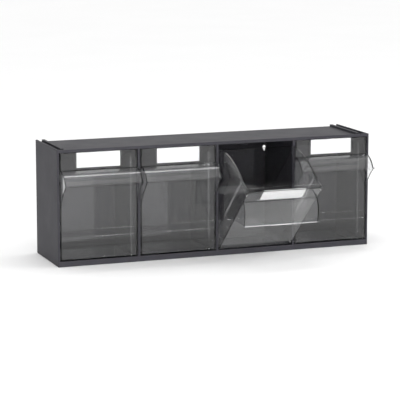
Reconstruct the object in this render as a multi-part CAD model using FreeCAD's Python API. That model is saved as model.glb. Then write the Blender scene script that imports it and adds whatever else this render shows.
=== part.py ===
import FreeCAD, Part
import math
import os

# Tip-out storage unit: an open-fronted housing with a row of clear bins.
# Each bin tilts forward on two stub pins at its front bottom corners.
# Millimetres. X runs along the row, -Y is the front, +Z is up, and the
# origin is the middle of the housing's footprint, on the surface it stands on.

os.makedirs("parts", exist_ok=True)
V = FreeCAD.Vector

# Housing
width = 600.0
depth = 138.0
height = 209.0
bin_count = 4
end_wall = 3.5
partition_wall = 4.0
back_wall = 3.0
lid_thickness = 2.0
lid_recess = 3.5
base_thickness = 3.0
rail_thickness = 3.0
base_rail_height = 10.0
base_rear_rail_height = 7.0
edge_round = 1.2

# Channels along both ends, on top and underneath
channel_width = 8.5
channel_rail = 5.0
base_channel_depth = 4.0
base_channel_roof = 3.0
channel_rail_setback = 17.0

# Tabs that lock the partitions into the back panel and the base
tab_length = 18.0
tab_clearance = 0.15
rear_tab_rise = 62.0
rear_tab_drop = 75.0
base_tab_inset = 32.0

# Wall holes, with a narrow slot below each
wall_hole_radius = 3.5
wall_hole_drop = 36.0
wall_hole_inset = 2.75
wall_slot_width = 3.6
wall_slot_length = 6.0
screw_head_room = 9.0
back_ledge_drop = 39.5
back_ledge_height = 1.5
back_ledge_depth = 1.5

# Bins
bin_side_clearance = 1.6
bin_top_clearance = 0.8
bin_back_clearance = 4.0
bin_wall = 1.8
rim_clearance = 8.5
rim_band = 6.0
rim_extra = 0.8
ear_depth = 7.0
ear_slope = 17.0
heel_radius = 16.0
open_angle = 48.0
open_bins = (3,)

# Pivots
pivot_setback = 4.0
pivot_height = 15.0
pin_radius = 2.5
pin_clearance = 0.05
pin_end_gap = 0.3

# Stop: a lug on the housing catches a narrow flange on the bin's rear corner
flange_side_gap = 0.7
lug_side_gap = 0.5
lug_radius = 2.5
lug_gap = 0.2
lug_drop = 17.0
lug_edge = 1.2

# Grip: a curved hood across the bin's front, closed by a cheek at each end
grip_drop = 30.7
grip_reach = 32.8
grip_fall = 24.4
grip_bulge = 6.3
lip_length = 5.0
lip_thickness = 1.6
cheek_length = 65.0
cheek_sag = 2.6
ridge_length = 39.0
ridge_width = 1.6
ridge_proud = 1.0

# Ribs inside each bin that hold a cross divider
rib_place = 32.0
rib_gap = 2.2
rib_width = 1.2
rib_proud = 1.2
rib_top_drop = 17.0

# Label pocket behind the top of the bin's front, and its card
card_length = 80.0
card_height = 27.0
card_thickness = 0.4
card_clearance = 0.2
pocket_end_clearance = 2.5
pocket_wall = 1.2

# Places that follow from the sizes above
front = -depth / 2
rear = depth / 2
inner_x = width / 2 - end_wall
lid_under = height - lid_recess - lid_thickness
lid_top = height - lid_recess
back_face = rear - back_wall
panel_end = inner_x - channel_width - channel_rail
bay_width = (2 * inner_x - (bin_count - 1) * partition_wall) / bin_count
bay_pitch = bay_width + partition_wall
bin_width = bay_width - 2 * bin_side_clearance
bin_half = bin_width / 2
bin_top = lid_under - bin_top_clearance
bin_back = back_face - bin_back_clearance
bin_inner_back = bin_back - bin_wall
bin_inner_front = front + bin_wall
pivot_y = front + pivot_setback
pivot_z = pivot_height
bin_floor = pivot_z - pivot_setback + bin_wall
rim_radius = lid_under - pivot_z - rim_clearance
rear_reach = bin_back - pivot_y
rear_height = math.sqrt(rim_radius ** 2 - rear_reach ** 2)
swing = math.radians(open_angle)
pin_reach = partition_wall / 2 - pin_end_gap
flange_proud = bin_side_clearance - flange_side_gap
lug_proud = bin_side_clearance - lug_side_gap


def bay_centre(index):
    """Middle of bay number index, counted from 0 at the left."""
    return (index - (bin_count - 1) / 2) * bay_pitch


def partition_centre(index):
    """Middle of the partition between bays index and index + 1."""
    return (bay_centre(index) + bay_centre(index + 1)) / 2


def block(x, y, z):
    """Rectangular block from three (low, high) pairs."""
    return Part.makeBox(x[1] - x[0], y[1] - y[0], z[1] - z[0], V(x[0], y[0], z[0]))


def rod(x, y, z, radius):
    """Round rod along X from a (low, high) pair and its axis."""
    return Part.makeCylinder(radius, x[1] - x[0], V(x[0], y, z), V(1, 0, 0))


def line(a, b):
    """Straight edge between two (y, z) points."""
    return Part.LineSegment(V(0, *a), V(0, *b)).toShape()


def arc(a, middle, b):
    """Round edge through three (y, z) points."""
    return Part.Arc(V(0, *a), V(0, *middle), V(0, *b)).toShape()


def prism(edges, x):
    """Solid between two X values from the edges of a closed (y, z) outline."""
    face = Part.Face(Part.Wire(edges))
    face.translate(V(x[0], 0, 0))
    return face.extrude(V(x[1] - x[0], 0, 0))


def polar(centre, radius, angle):
    """Point at an angle round a (y, z) centre."""
    return (centre[0] + radius * math.cos(angle), centre[1] + radius * math.sin(angle))


def angle_of(centre, point):
    """Angle of a (y, z) point round a (y, z) centre."""
    return math.atan2(point[1] - centre[1], point[0] - centre[0])


def joined(pieces):
    """One clean solid from pieces that touch or overlap."""
    return pieces[0].multiFuse(pieces[1:]).removeSplitter()


def rim_height(y, radius):
    """Height of a circle round the pivots at a given y."""
    return pivot_z + math.sqrt(radius ** 2 - (y - pivot_y) ** 2)


# Housing pieces

def lug_place():
    """Axis of the stop lug: just ahead of the open bin's rear flange."""
    ahead = bin_inner_back - pivot_y - lug_radius - lug_gap
    y_limit = front + lug_edge + lug_radius
    at_front_edge = (pivot_y + ahead * math.cos(swing) - y_limit) / math.sin(swing)
    along = min(rear_height - lug_drop, at_front_edge)
    y = pivot_y + ahead * math.cos(swing) - along * math.sin(swing)
    z = pivot_z + ahead * math.sin(swing) + along * math.cos(swing)
    return y, z


def with_bin_fittings(wall, face_x, side):
    """Cut a pivot hole into a wall's face and raise a stop lug on it.

    side is the X direction that the face looks in.
    """
    deep = pin_reach + pin_end_gap
    hole_x = sorted((face_x, face_x - side * deep))
    lug_x = sorted((face_x, face_x + side * lug_proud))
    wall = wall.cut(rod(hole_x, pivot_y, pivot_z, pin_radius + pin_clearance))
    return wall.fuse(rod(lug_x, *lug_place(), lug_radius))


def right_end():
    """End wall with a channel along its top and another along its foot."""
    outline = [
        (width / 2, 0),
        (width / 2, height),
        (inner_x, height),
        (inner_x, lid_top),
        (panel_end + channel_rail, lid_top),
        (panel_end + channel_rail, height),
        (panel_end, height),
        (panel_end, lid_under),
        (inner_x, lid_under),
        (inner_x, base_channel_depth + base_channel_roof),
        (panel_end, base_channel_depth + base_channel_roof),
        (panel_end, 0),
        (panel_end + channel_rail, 0),
        (panel_end + channel_rail, base_channel_depth),
        (inner_x, base_channel_depth),
        (inner_x, 0),
    ]
    corners = [V(x, front, z) for x, z in outline]
    wall = Part.Face(Part.makePolygon(corners + corners[:1])).extrude(V(0, depth, 0))
    stub = (front + rail_thickness, front + channel_rail_setback)
    wall = wall.cut(block((panel_end, panel_end + channel_rail), stub, (lid_top, height)))
    across = (panel_end, inner_x)
    bar = (front, front + rail_thickness)
    wall = wall.fuse(block(across, bar, (lid_under, height)))
    wall = wall.fuse(block(across, bar, (0, base_rail_height)))
    wall = wall.removeSplitter()
    outer = [e for e in wall.Edges if is_outer_corner(e)]
    wall = wall.makeFillet(edge_round, outer)
    return with_bin_fittings(wall, inner_x, -1)


def is_outer_corner(edge):
    """True for the long straight edges round the end wall's outer face."""
    box = edge.BoundBox
    return box.XMin > width / 2 - end_wall / 2 and edge.Length > depth / 2


def top_panel():
    """Lid with an upstand along its front edge."""
    x = (-panel_end, panel_end)
    lid = block(x, (front, rear), (lid_under, lid_top))
    return joined([lid, block(x, (front, front + rail_thickness), (lid_under, height))])


def bottom_panel():
    """Base plate with a front rail, a low rear rail and slots for the partitions' tabs."""
    x = (-panel_end, panel_end)
    plate = block(x, (front, rear), (0, base_thickness))
    front_rail = block(x, (front, front + rail_thickness), (0, base_rail_height))
    rear_rail = block(x, (back_face, rear), (0, base_rear_rail_height))
    base = joined([plate, front_rail, rear_rail])
    for index in range(bin_count - 1):
        base = base.cut(base_tabs(index, tab_clearance))
    return base


def back_panel():
    """Back with two wall holes, a ledge beside them and slots for the partitions' tabs."""
    z = (base_rear_rail_height, lid_under)
    back = block((-inner_x, inner_x), (back_face, rear), z)
    ledge_z = height - back_ledge_drop
    for index in range(bin_count):
        half = bay_width / 2
        x = (bay_centre(index) - half, bay_centre(index) + half)
        y = (back_face - back_ledge_depth, back_face)
        back = back.fuse(block(x, y, (ledge_z, ledge_z + back_ledge_height)))
    for index in range(bin_count - 1):
        back = back.cut(rear_tabs(index, tab_clearance))
    for side in (-1, 1):
        back = back.cut(screw_head_space(side))
        back = back.cut(wall_hole(side))
    return back.removeSplitter()


def wall_hole_x():
    """Distance of each wall hole from the middle, just inside the outer partitions."""
    return partition_centre(bin_count - 2) - wall_hole_inset


def screw_head_space(side):
    """Gap in the ledge round a wall hole, so that a screw's head sits on the back."""
    x = side * wall_hole_x()
    reach = (x - screw_head_room, x + screw_head_room)
    y = (back_face - back_ledge_depth, back_face)
    return block(reach, y, (base_rear_rail_height, lid_under))


def wall_hole(side):
    """Round hole and the slot below it, as one cutter."""
    x = side * wall_hole_x()
    z = height - wall_hole_drop
    hole = Part.makeCylinder(wall_hole_radius, back_wall, V(x, back_face, z), V(0, 1, 0))
    half = wall_slot_width / 2
    y = (back_face, rear)
    return hole.fuse(block((x - half, x + half), y, (z - wall_slot_length, z)))


def rear_tabs(index, clearance):
    """Two tabs at the rear of a partition, grown by a clearance."""
    half = partition_wall / 2 + clearance
    centre = partition_centre(index)
    tabs = []
    reach = tab_length / 2 + clearance
    for z in (rear_tab_rise, height - rear_tab_drop):
        x = (centre - half, centre + half)
        tabs.append(block(x, (back_face, rear), (z - reach, z + reach)))
    return tabs[0].fuse(tabs[1:])


def base_tabs(index, clearance):
    """Two tabs at the foot of a partition, grown by a clearance."""
    half = partition_wall / 2 + clearance
    centre = partition_centre(index)
    tabs = []
    reach = tab_length / 2 + clearance
    for y in (front + base_tab_inset, rear - base_tab_inset):
        x = (centre - half, centre + half)
        tabs.append(block(x, (y - reach, y + reach), (0, base_thickness)))
    return tabs[0].fuse(tabs[1:])


def partition(index):
    """Wall between two bays, notched behind a wall hole for the screw's head."""
    half = partition_wall / 2
    centre = partition_centre(index)
    x = (centre - half, centre + half)
    wall = block(x, (front, back_face), (base_thickness, lid_under))
    wall = wall.cut(block(x, (front, front + rail_thickness), (base_thickness, base_rail_height)))
    wall = wall.fuse([rear_tabs(index, 0), base_tabs(index, 0)]).removeSplitter()
    if index in (0, bin_count - 2):
        z = height - wall_hole_drop
        notch = (z - screw_head_room - wall_slot_length, z + screw_head_room)
        wall = wall.cut(block(x, (back_face - screw_head_room, back_face), notch))
    wall = with_bin_fittings(wall, x[0], -1)
    return with_bin_fittings(wall, x[1], 1)


# Bin pieces, drawn closed and centred on x = 0

def bin_outline():
    """Side view of the bin: nose round the pivots, rim on an arc, rounded heel."""
    under = pivot_z - pivot_setback
    nose = polar((pivot_y, pivot_z), pivot_setback, math.radians(225))
    rim_front_y = front + ear_depth + ear_slope
    rim_front = (rim_front_y, rim_height(rim_front_y, rim_radius))
    rim_middle_y = (rim_front_y + bin_back) / 2
    rim_middle = (rim_middle_y, rim_height(rim_middle_y, rim_radius))
    rim_rear = (bin_back, pivot_z + rear_height)
    heel_centre = (bin_back - heel_radius, under + heel_radius)
    heel_middle = polar(heel_centre, heel_radius, math.radians(-45))
    return [
        line((front, pivot_z), (front, bin_top)),
        line((front, bin_top), (front + ear_depth, bin_top)),
        line((front + ear_depth, bin_top), rim_front),
        arc(rim_front, rim_middle, rim_rear),
        line(rim_rear, (bin_back, heel_centre[1])),
        arc((bin_back, heel_centre[1]), heel_middle, (heel_centre[0], under)),
        line((heel_centre[0], under), (pivot_y, under)),
        arc((pivot_y, under), nose, (front, pivot_z)),
    ]


def bin_hollow(half):
    """Inside of the bin between -half and half, open above the rim."""
    radius = heel_radius - bin_wall
    centre = (bin_inner_back - radius, bin_floor + radius)
    middle = polar(centre, radius, math.radians(-45))
    above = height
    edges = [
        line((bin_inner_front, bin_floor), (bin_inner_front, above)),
        line((bin_inner_front, above), (bin_inner_back, above)),
        line((bin_inner_back, above), (bin_inner_back, centre[1])),
        arc((bin_inner_back, centre[1]), middle, (centre[0], bin_floor)),
        line((centre[0], bin_floor), (bin_inner_front, bin_floor)),
    ]
    return prism(edges, (-half, half))


def bin_tub():
    """Box of the bin, with side walls that thicken into a band along the rim."""
    side = bin_half - bin_wall
    tub = prism(bin_outline(), (-bin_half, bin_half))
    tub = tub.cut(bin_hollow(side - rim_extra))
    below_band = rod((-side, side), pivot_y, pivot_z, rim_radius - rim_band)
    return tub.cut(bin_hollow(side).common(below_band))


def grip_centre():
    """Centre and radius of the hood's outer arc, and the angles of its root and lip."""
    root = (front, bin_top - grip_drop)
    lip = (front - grip_reach, root[1] - grip_fall)
    chord = math.hypot(grip_reach, grip_fall)
    radius = (chord ** 2 / 4 + grip_bulge ** 2) / (2 * grip_bulge)
    inward = radius - grip_bulge
    y = (root[0] + lip[0]) / 2 + inward * grip_fall / chord
    z = (root[1] + lip[1]) / 2 - inward * grip_reach / chord
    return (y, z), radius, angle_of((y, z), root), angle_of((y, z), lip)


def ring_part(centre, inner, outer, start, end, x):
    """Curved strip between two radii and two angles."""
    middle = (start + end) / 2
    corners = [polar(centre, r, a) for r in (outer, inner) for a in (start, end)]
    edges = [
        arc(corners[0], polar(centre, outer, middle), corners[1]),
        line(corners[1], corners[3]),
        arc(corners[3], polar(centre, inner, middle), corners[2]),
        line(corners[2], corners[0]),
    ]
    return prism(edges, x)


def grip():
    """Hood, its turned-out lip with a short finger ridge above it, and the two cheeks."""
    centre, radius, root, lip = grip_centre()
    inside = bin_wall / 2
    rooted = root - inside / radius
    full = (-bin_half, bin_half)
    hood = ring_part(centre, radius - bin_wall, radius, rooted, lip, full)
    lip_start = lip - lip_thickness / radius
    edge = ring_part(centre, radius - bin_wall, radius + lip_length, lip_start, lip, full)
    grasp = (-ridge_length / 2, ridge_length / 2)
    ridge_start = lip_start - ridge_width / radius
    inside_hood = radius - bin_wall / 2
    ridge = ring_part(centre, inside_hood, radius + ridge_proud, ridge_start, lip_start, grasp)
    pieces = [hood, edge, ridge]
    for side in (-1, 1):
        x = sorted((side * bin_half, side * (bin_half - bin_wall)))
        pieces.append(cheek(centre, radius, rooted, lip, x))
    return pieces


def cheek(centre, radius, root, lip, x):
    """Plate that closes one end of the hood, with a slightly hollow lower edge."""
    top = polar(centre, radius, root)
    tip = polar(centre, radius, lip)
    foot = (front + bin_wall / 2, bin_top - grip_drop - cheek_length)
    run = math.hypot(tip[0] - foot[0], tip[1] - foot[1])
    sag_y = (tip[0] + foot[0]) / 2 + cheek_sag * (tip[1] - foot[1]) / run
    sag_z = (tip[1] + foot[1]) / 2 - cheek_sag * (tip[0] - foot[0]) / run
    edges = [
        arc(top, polar(centre, radius, (root + lip) / 2), tip),
        arc(tip, (sag_y, sag_z), foot),
        line(foot, top),
    ]
    return prism(edges, x)


def label_pocket():
    """Strip behind the front wall that leaves a slot for the card, open at the top."""
    slot = card_thickness + 2 * card_clearance
    half_slot = card_length / 2 + pocket_end_clearance
    half = half_slot + pocket_wall
    slot_floor = bin_top - card_height - card_clearance
    y = (bin_inner_front, bin_inner_front + slot + pocket_wall)
    strip = block((-half, half), y, (slot_floor - pocket_wall, bin_top))
    slot_y = (bin_inner_front, bin_inner_front + slot)
    return strip.cut(block((-half_slot, half_slot), slot_y, (slot_floor, bin_top)))


def divider_ribs():
    """Two pairs of upright ribs, one pair on each side wall."""
    ribs = []
    wall_face = bin_half - bin_wall
    for side in (-1, 1):
        for step in (-1, 1):
            middle = front + rib_place + step * (rib_gap + rib_width) / 2
            y = (middle - rib_width / 2, middle + rib_width / 2)
            x = sorted((side * (wall_face + rib_proud), side * (wall_face - rib_proud)))
            z = (bin_floor - bin_wall / 2, bin_top - rib_top_drop)
            ribs.append(block(x, y, z))
    return ribs


def rear_flanges():
    """Narrow flanges that stand out at both ends of the back wall."""
    half = bin_half + flange_proud
    z = (pivot_z - pivot_setback + heel_radius, pivot_z + rear_height)
    back = block((-half, half), (bin_inner_back, bin_back), z)
    return back.cut(bin_hollow(bin_half - bin_wall))


def pivot_pins():
    """Stub pins on both sides, with small shoulders that keep the bin central."""
    reach = bin_half + bin_side_clearance + pin_reach
    inside = bin_half - bin_wall / 2
    pins = []
    for side in (-1, 1):
        x = sorted((side * inside, side * reach))
        pins.append(rod(x, pivot_y, pivot_z, pin_radius))
    return pins


def closed_bin():
    """Whole bin as one moulding."""
    pieces = [bin_tub(), label_pocket(), rear_flanges()]
    return joined(pieces + grip() + divider_ribs() + pivot_pins())


def closed_card():
    """Card in its pocket."""
    half = card_length / 2
    y = bin_inner_front + card_clearance
    z = bin_top - card_height
    return block((-half, half), (y, y + card_thickness), (z, bin_top))


def in_bay(shape, number):
    """Copy of a bin piece in its bay, tilted forward where that bin stands open."""
    placed = shape.copy()
    if number in open_bins:
        placed.rotate(V(0, pivot_y, pivot_z), V(1, 0, 0), open_angle)
    placed.translate(V(bay_centre(number - 1), 0, 0))
    return placed


def save(name, shape):
    """Write one node."""
    shape.exportStep("parts/" + name + ".step")


end = right_end()
save("end_panel_right", end)
save("end_panel_left", end.mirror(V(0, 0, 0), V(1, 0, 0)))
save("top_panel", top_panel())
save("bottom_panel", bottom_panel())
save("back_panel", back_panel())
for number in range(1, bin_count):
    save("partition_" + str(number), partition(number - 1))
tilting_bin = closed_bin()
card = closed_card()
for number in range(1, bin_count + 1):
    save("bin_" + str(number), in_bay(tilting_bin, number))
    save("label_card_" + str(number), in_bay(card, number))
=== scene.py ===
import math

import bpy
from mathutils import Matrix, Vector

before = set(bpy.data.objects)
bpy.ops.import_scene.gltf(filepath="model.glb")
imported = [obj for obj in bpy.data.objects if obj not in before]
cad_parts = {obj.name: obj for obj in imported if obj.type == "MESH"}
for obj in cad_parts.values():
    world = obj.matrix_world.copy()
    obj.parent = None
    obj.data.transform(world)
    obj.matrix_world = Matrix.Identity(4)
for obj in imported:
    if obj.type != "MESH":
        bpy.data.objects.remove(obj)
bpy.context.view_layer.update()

# Camera: a long lens in front of the unit, a little to its left and above it.
CAMERA_AZIMUTH = math.radians(-20.49)
CAMERA_ELEVATION = math.radians(10.08)
CAMERA_DISTANCE = 3.513
CAMERA_TARGET = Vector((-0.0079, 0.0, 0.0915))
CAMERA_LENS = 171.9
CAMERA_SENSOR = 36.0
CAMERA_FAR_END = 60.0

# Studio: each light is its name, place, target, size and power.
FLOOR_HALF = 20.0
WORLD_STRENGTH = 1.04
UNIT_MIDDLE = (0.0, 0.0, 0.1)
LIGHTS = (
    ("front_fill", (-0.5, -3.1, 0.25), UNIT_MIDDLE, (1.6, 0.48), 77.0),
    ("key_right", (2.2, -0.8, 1.6), UNIT_MIDDLE, (1.0, 1.0), 14.0),
    ("overhead_strip", (0.1, 0.16, 2.0), (0.1, 0.0, 0.1), (1.25, 0.22), 4.5),
)

# Housing edges: the faces are joined first, so that their edges can be rounded.
# The back keeps sharp edges, because rounded ones shade a line between its holes.
SHARP_NODES = ("back_panel",)
WELD_DISTANCE = 0.000002
EDGE_ROUND = 0.0004
EDGE_SEGMENTS = 2
EDGE_ANGLE = math.radians(40)

# The part of a noise's 0 to 1 range that carries its contrast.
NOISE_LOW = 0.35
NOISE_HIGH = 0.65

HOUSING_DARK = (0.0355, 0.0347, 0.0405)
HOUSING_LIGHT = (0.0385, 0.0375, 0.0435)
HOUSING_SPECULAR = 0.06
HOUSING_ROUGHNESS = (0.43, 0.47)
CLEAR_COLOUR = (0.97, 0.972, 0.976)
CLEAR_IOR = 1.44
CLEAR_ROUGHNESS = (0.0, 0.012)
CARD_DARK = (0.93, 0.93, 0.925)
CARD_LIGHT = (0.96, 0.96, 0.955)
CARD_ROUGHNESS = (0.75, 0.9)
FLOOR_DARK = (0.925, 0.925, 0.925)
FLOOR_LIGHT = (0.935, 0.935, 0.935)
FLOOR_ROUGHNESS = 0.8


# Material building blocks

def new_material(name):
    """Empty node material, with its shader and output."""
    material = bpy.data.materials.new(name)
    material.use_nodes = True
    tree = material.node_tree
    tree.nodes.clear()
    output = tree.nodes.new("ShaderNodeOutputMaterial")
    shader = tree.nodes.new("ShaderNodeBsdfPrincipled")
    tree.links.new(shader.outputs["BSDF"], output.inputs["Surface"])
    return material, tree, shader


def noise(tree, scale, detail=3.0, stretch=(1, 1, 1)):
    """Noise over object coordinates, stretched along the axes; returns its value socket."""
    coords = tree.nodes.new("ShaderNodeTexCoord")
    mapping = tree.nodes.new("ShaderNodeMapping")
    mapping.inputs["Scale"].default_value = stretch
    texture = tree.nodes.new("ShaderNodeTexNoise")
    texture.inputs["Scale"].default_value = scale
    texture.inputs["Detail"].default_value = detail
    tree.links.new(coords.outputs["Object"], mapping.inputs["Vector"])
    tree.links.new(mapping.outputs["Vector"], texture.inputs["Vector"])
    return texture.outputs["Fac"]


def vary_roughness(tree, shader, value, limits):
    """Drives the shader's roughness between two limits by a noise value."""
    node = tree.nodes.new("ShaderNodeMapRange")
    node.inputs["From Min"].default_value = NOISE_LOW
    node.inputs["From Max"].default_value = NOISE_HIGH
    node.inputs["To Min"].default_value = limits[0]
    node.inputs["To Max"].default_value = limits[1]
    tree.links.new(value, node.inputs["Value"])
    tree.links.new(node.outputs["Result"], shader.inputs["Roughness"])


def vary_colour(tree, shader, value, dark, light):
    """Drives the shader's base colour between two tones by a noise value."""
    ramp = tree.nodes.new("ShaderNodeValToRGB")
    first, last = ramp.color_ramp.elements
    first.position = NOISE_LOW
    last.position = NOISE_HIGH
    first.color = (*dark, 1)
    last.color = (*light, 1)
    tree.links.new(value, ramp.inputs["Fac"])
    tree.links.new(ramp.outputs["Color"], shader.inputs["Base Color"])


def bump(tree, shader, layers):
    """Stacks bump layers, each (value, strength, distance), onto the shader's normal."""
    normal = None
    for value, strength, distance in layers:
        node = tree.nodes.new("ShaderNodeBump")
        node.inputs["Strength"].default_value = strength
        node.inputs["Distance"].default_value = distance
        tree.links.new(value, node.inputs["Height"])
        if normal is not None:
            tree.links.new(normal, node.inputs["Normal"])
        normal = node.outputs["Normal"]
    tree.links.new(normal, shader.inputs["Normal"])


# Materials

def housing_plastic():
    """Dark grey moulded plastic with a fine spark-eroded grain and a faint swell."""
    material, tree, shader = new_material("housing_plastic")
    vary_colour(tree, shader, noise(tree, 60.0), HOUSING_DARK, HOUSING_LIGHT)
    vary_roughness(tree, shader, noise(tree, 25.0), HOUSING_ROUGHNESS)
    shader.inputs["Specular IOR Level"].default_value = HOUSING_SPECULAR
    grain = noise(tree, 1400.0, detail=2.0)
    swell = noise(tree, 14.0, detail=1.0)
    bump(tree, shader, [(grain, 0.25, 0.0001), (swell, 0.015, 0.0004)])
    return material


def clear_plastic():
    """Clear, glossy moulded plastic with faint flow marks and fine handling marks."""
    material, tree, shader = new_material("clear_plastic")
    shader.inputs["Base Color"].default_value = (*CLEAR_COLOUR, 1)
    shader.inputs["Transmission Weight"].default_value = 1.0
    shader.inputs["IOR"].default_value = CLEAR_IOR
    marks = noise(tree, 160.0, detail=4.0, stretch=(1, 1, 0.15))
    vary_roughness(tree, shader, marks, CLEAR_ROUGHNESS)
    flow = noise(tree, 22.0, detail=1.0, stretch=(1, 1, 0.35))
    bump(tree, shader, [(flow, 0.02, 0.00005)])
    return material


def label_card():
    """Plain white card with a faint fibre."""
    material, tree, shader = new_material("label_card")
    vary_colour(tree, shader, noise(tree, 60.0, detail=5.0), CARD_DARK, CARD_LIGHT)
    vary_roughness(tree, shader, noise(tree, 300.0), CARD_ROUGHNESS)
    fibre = noise(tree, 900.0, detail=4.0, stretch=(0.3, 1, 1))
    bump(tree, shader, [(fibre, 0.2, 0.00006)])
    return material


def floor_paint():
    """Plain pale studio floor."""
    material, tree, shader = new_material("studio_floor")
    vary_colour(tree, shader, noise(tree, 3.0), FLOOR_DARK, FLOOR_LIGHT)
    shader.inputs["Roughness"].default_value = FLOOR_ROUGHNESS
    return material


# Frame nodes

def soften_edges(piece):
    """Joins a piece's faces and rounds its sharp edges a little."""
    weld = piece.modifiers.new("joined_faces", "WELD")
    weld.merge_threshold = WELD_DISTANCE
    soften = piece.modifiers.new("soft_edges", "BEVEL")
    soften.width = EDGE_ROUND
    soften.segments = EDGE_SEGMENTS
    soften.limit_method = "ANGLE"
    soften.angle_limit = EDGE_ANGLE
    soften.harden_normals = True


def dress_nodes():
    """Gives every CAD node its material, and the housing its soft edges."""
    housing = housing_plastic()
    clear = clear_plastic()
    card = label_card()
    for name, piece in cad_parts.items():
        piece.data.materials.clear()
        if name.startswith("bin"):
            piece.data.materials.append(clear)
        elif name.startswith("label_card"):
            piece.data.materials.append(card)
        else:
            piece.data.materials.append(housing)
            if name not in SHARP_NODES:
                soften_edges(piece)


# Stage

def add_floor():
    """Large plain floor at the unit's base."""
    mesh = bpy.data.meshes.new("studio_floor")
    signs = ((-1, -1), (1, -1), (1, 1), (-1, 1))
    corners = [(x * FLOOR_HALF, y * FLOOR_HALF, 0) for x, y in signs]
    mesh.from_pydata(corners, [], [(0, 1, 2, 3)])
    mesh.materials.append(floor_paint())
    floor = bpy.data.objects.new("studio_floor", mesh)
    bpy.context.scene.collection.objects.link(floor)


def aimed(data, name, place, target):
    """Links a light or camera at a place, looking at a target."""
    thing = bpy.data.objects.new(name, data)
    bpy.context.scene.collection.objects.link(thing)
    thing.location = place
    thing.rotation_euler = (Vector(target) - Vector(place)).to_track_quat("-Z", "Y").to_euler()
    return thing


def add_softbox(name, place, target, size, power):
    """Rectangular soft light."""
    light = bpy.data.lights.new(name, "AREA")
    light.shape = "RECTANGLE"
    light.size = size[0]
    light.size_y = size[1]
    light.energy = power
    aimed(light, name, place, target)


def add_world():
    """Even white surroundings."""
    world = bpy.data.worlds.new("studio")
    world.use_nodes = True
    sky = world.node_tree.nodes["Background"]
    sky.inputs["Color"].default_value = (1, 1, 1, 1)
    sky.inputs["Strength"].default_value = WORLD_STRENGTH
    bpy.context.scene.world = world


def add_camera():
    """Camera in front of the unit, looking at its middle."""
    away = Vector((
        math.sin(CAMERA_AZIMUTH) * math.cos(CAMERA_ELEVATION),
        -math.cos(CAMERA_AZIMUTH) * math.cos(CAMERA_ELEVATION),
        math.sin(CAMERA_ELEVATION),
    ))
    lens = bpy.data.cameras.new("camera")
    lens.lens = CAMERA_LENS
    lens.sensor_width = CAMERA_SENSOR
    lens.clip_end = CAMERA_FAR_END
    place = CAMERA_TARGET + CAMERA_DISTANCE * away
    bpy.context.scene.camera = aimed(lens, "camera", place, CAMERA_TARGET)


dress_nodes()
add_floor()
add_world()
add_camera()
for light in LIGHTS:
    add_softbox(*light)
bpy.context.scene.view_settings.view_transform = "Standard"
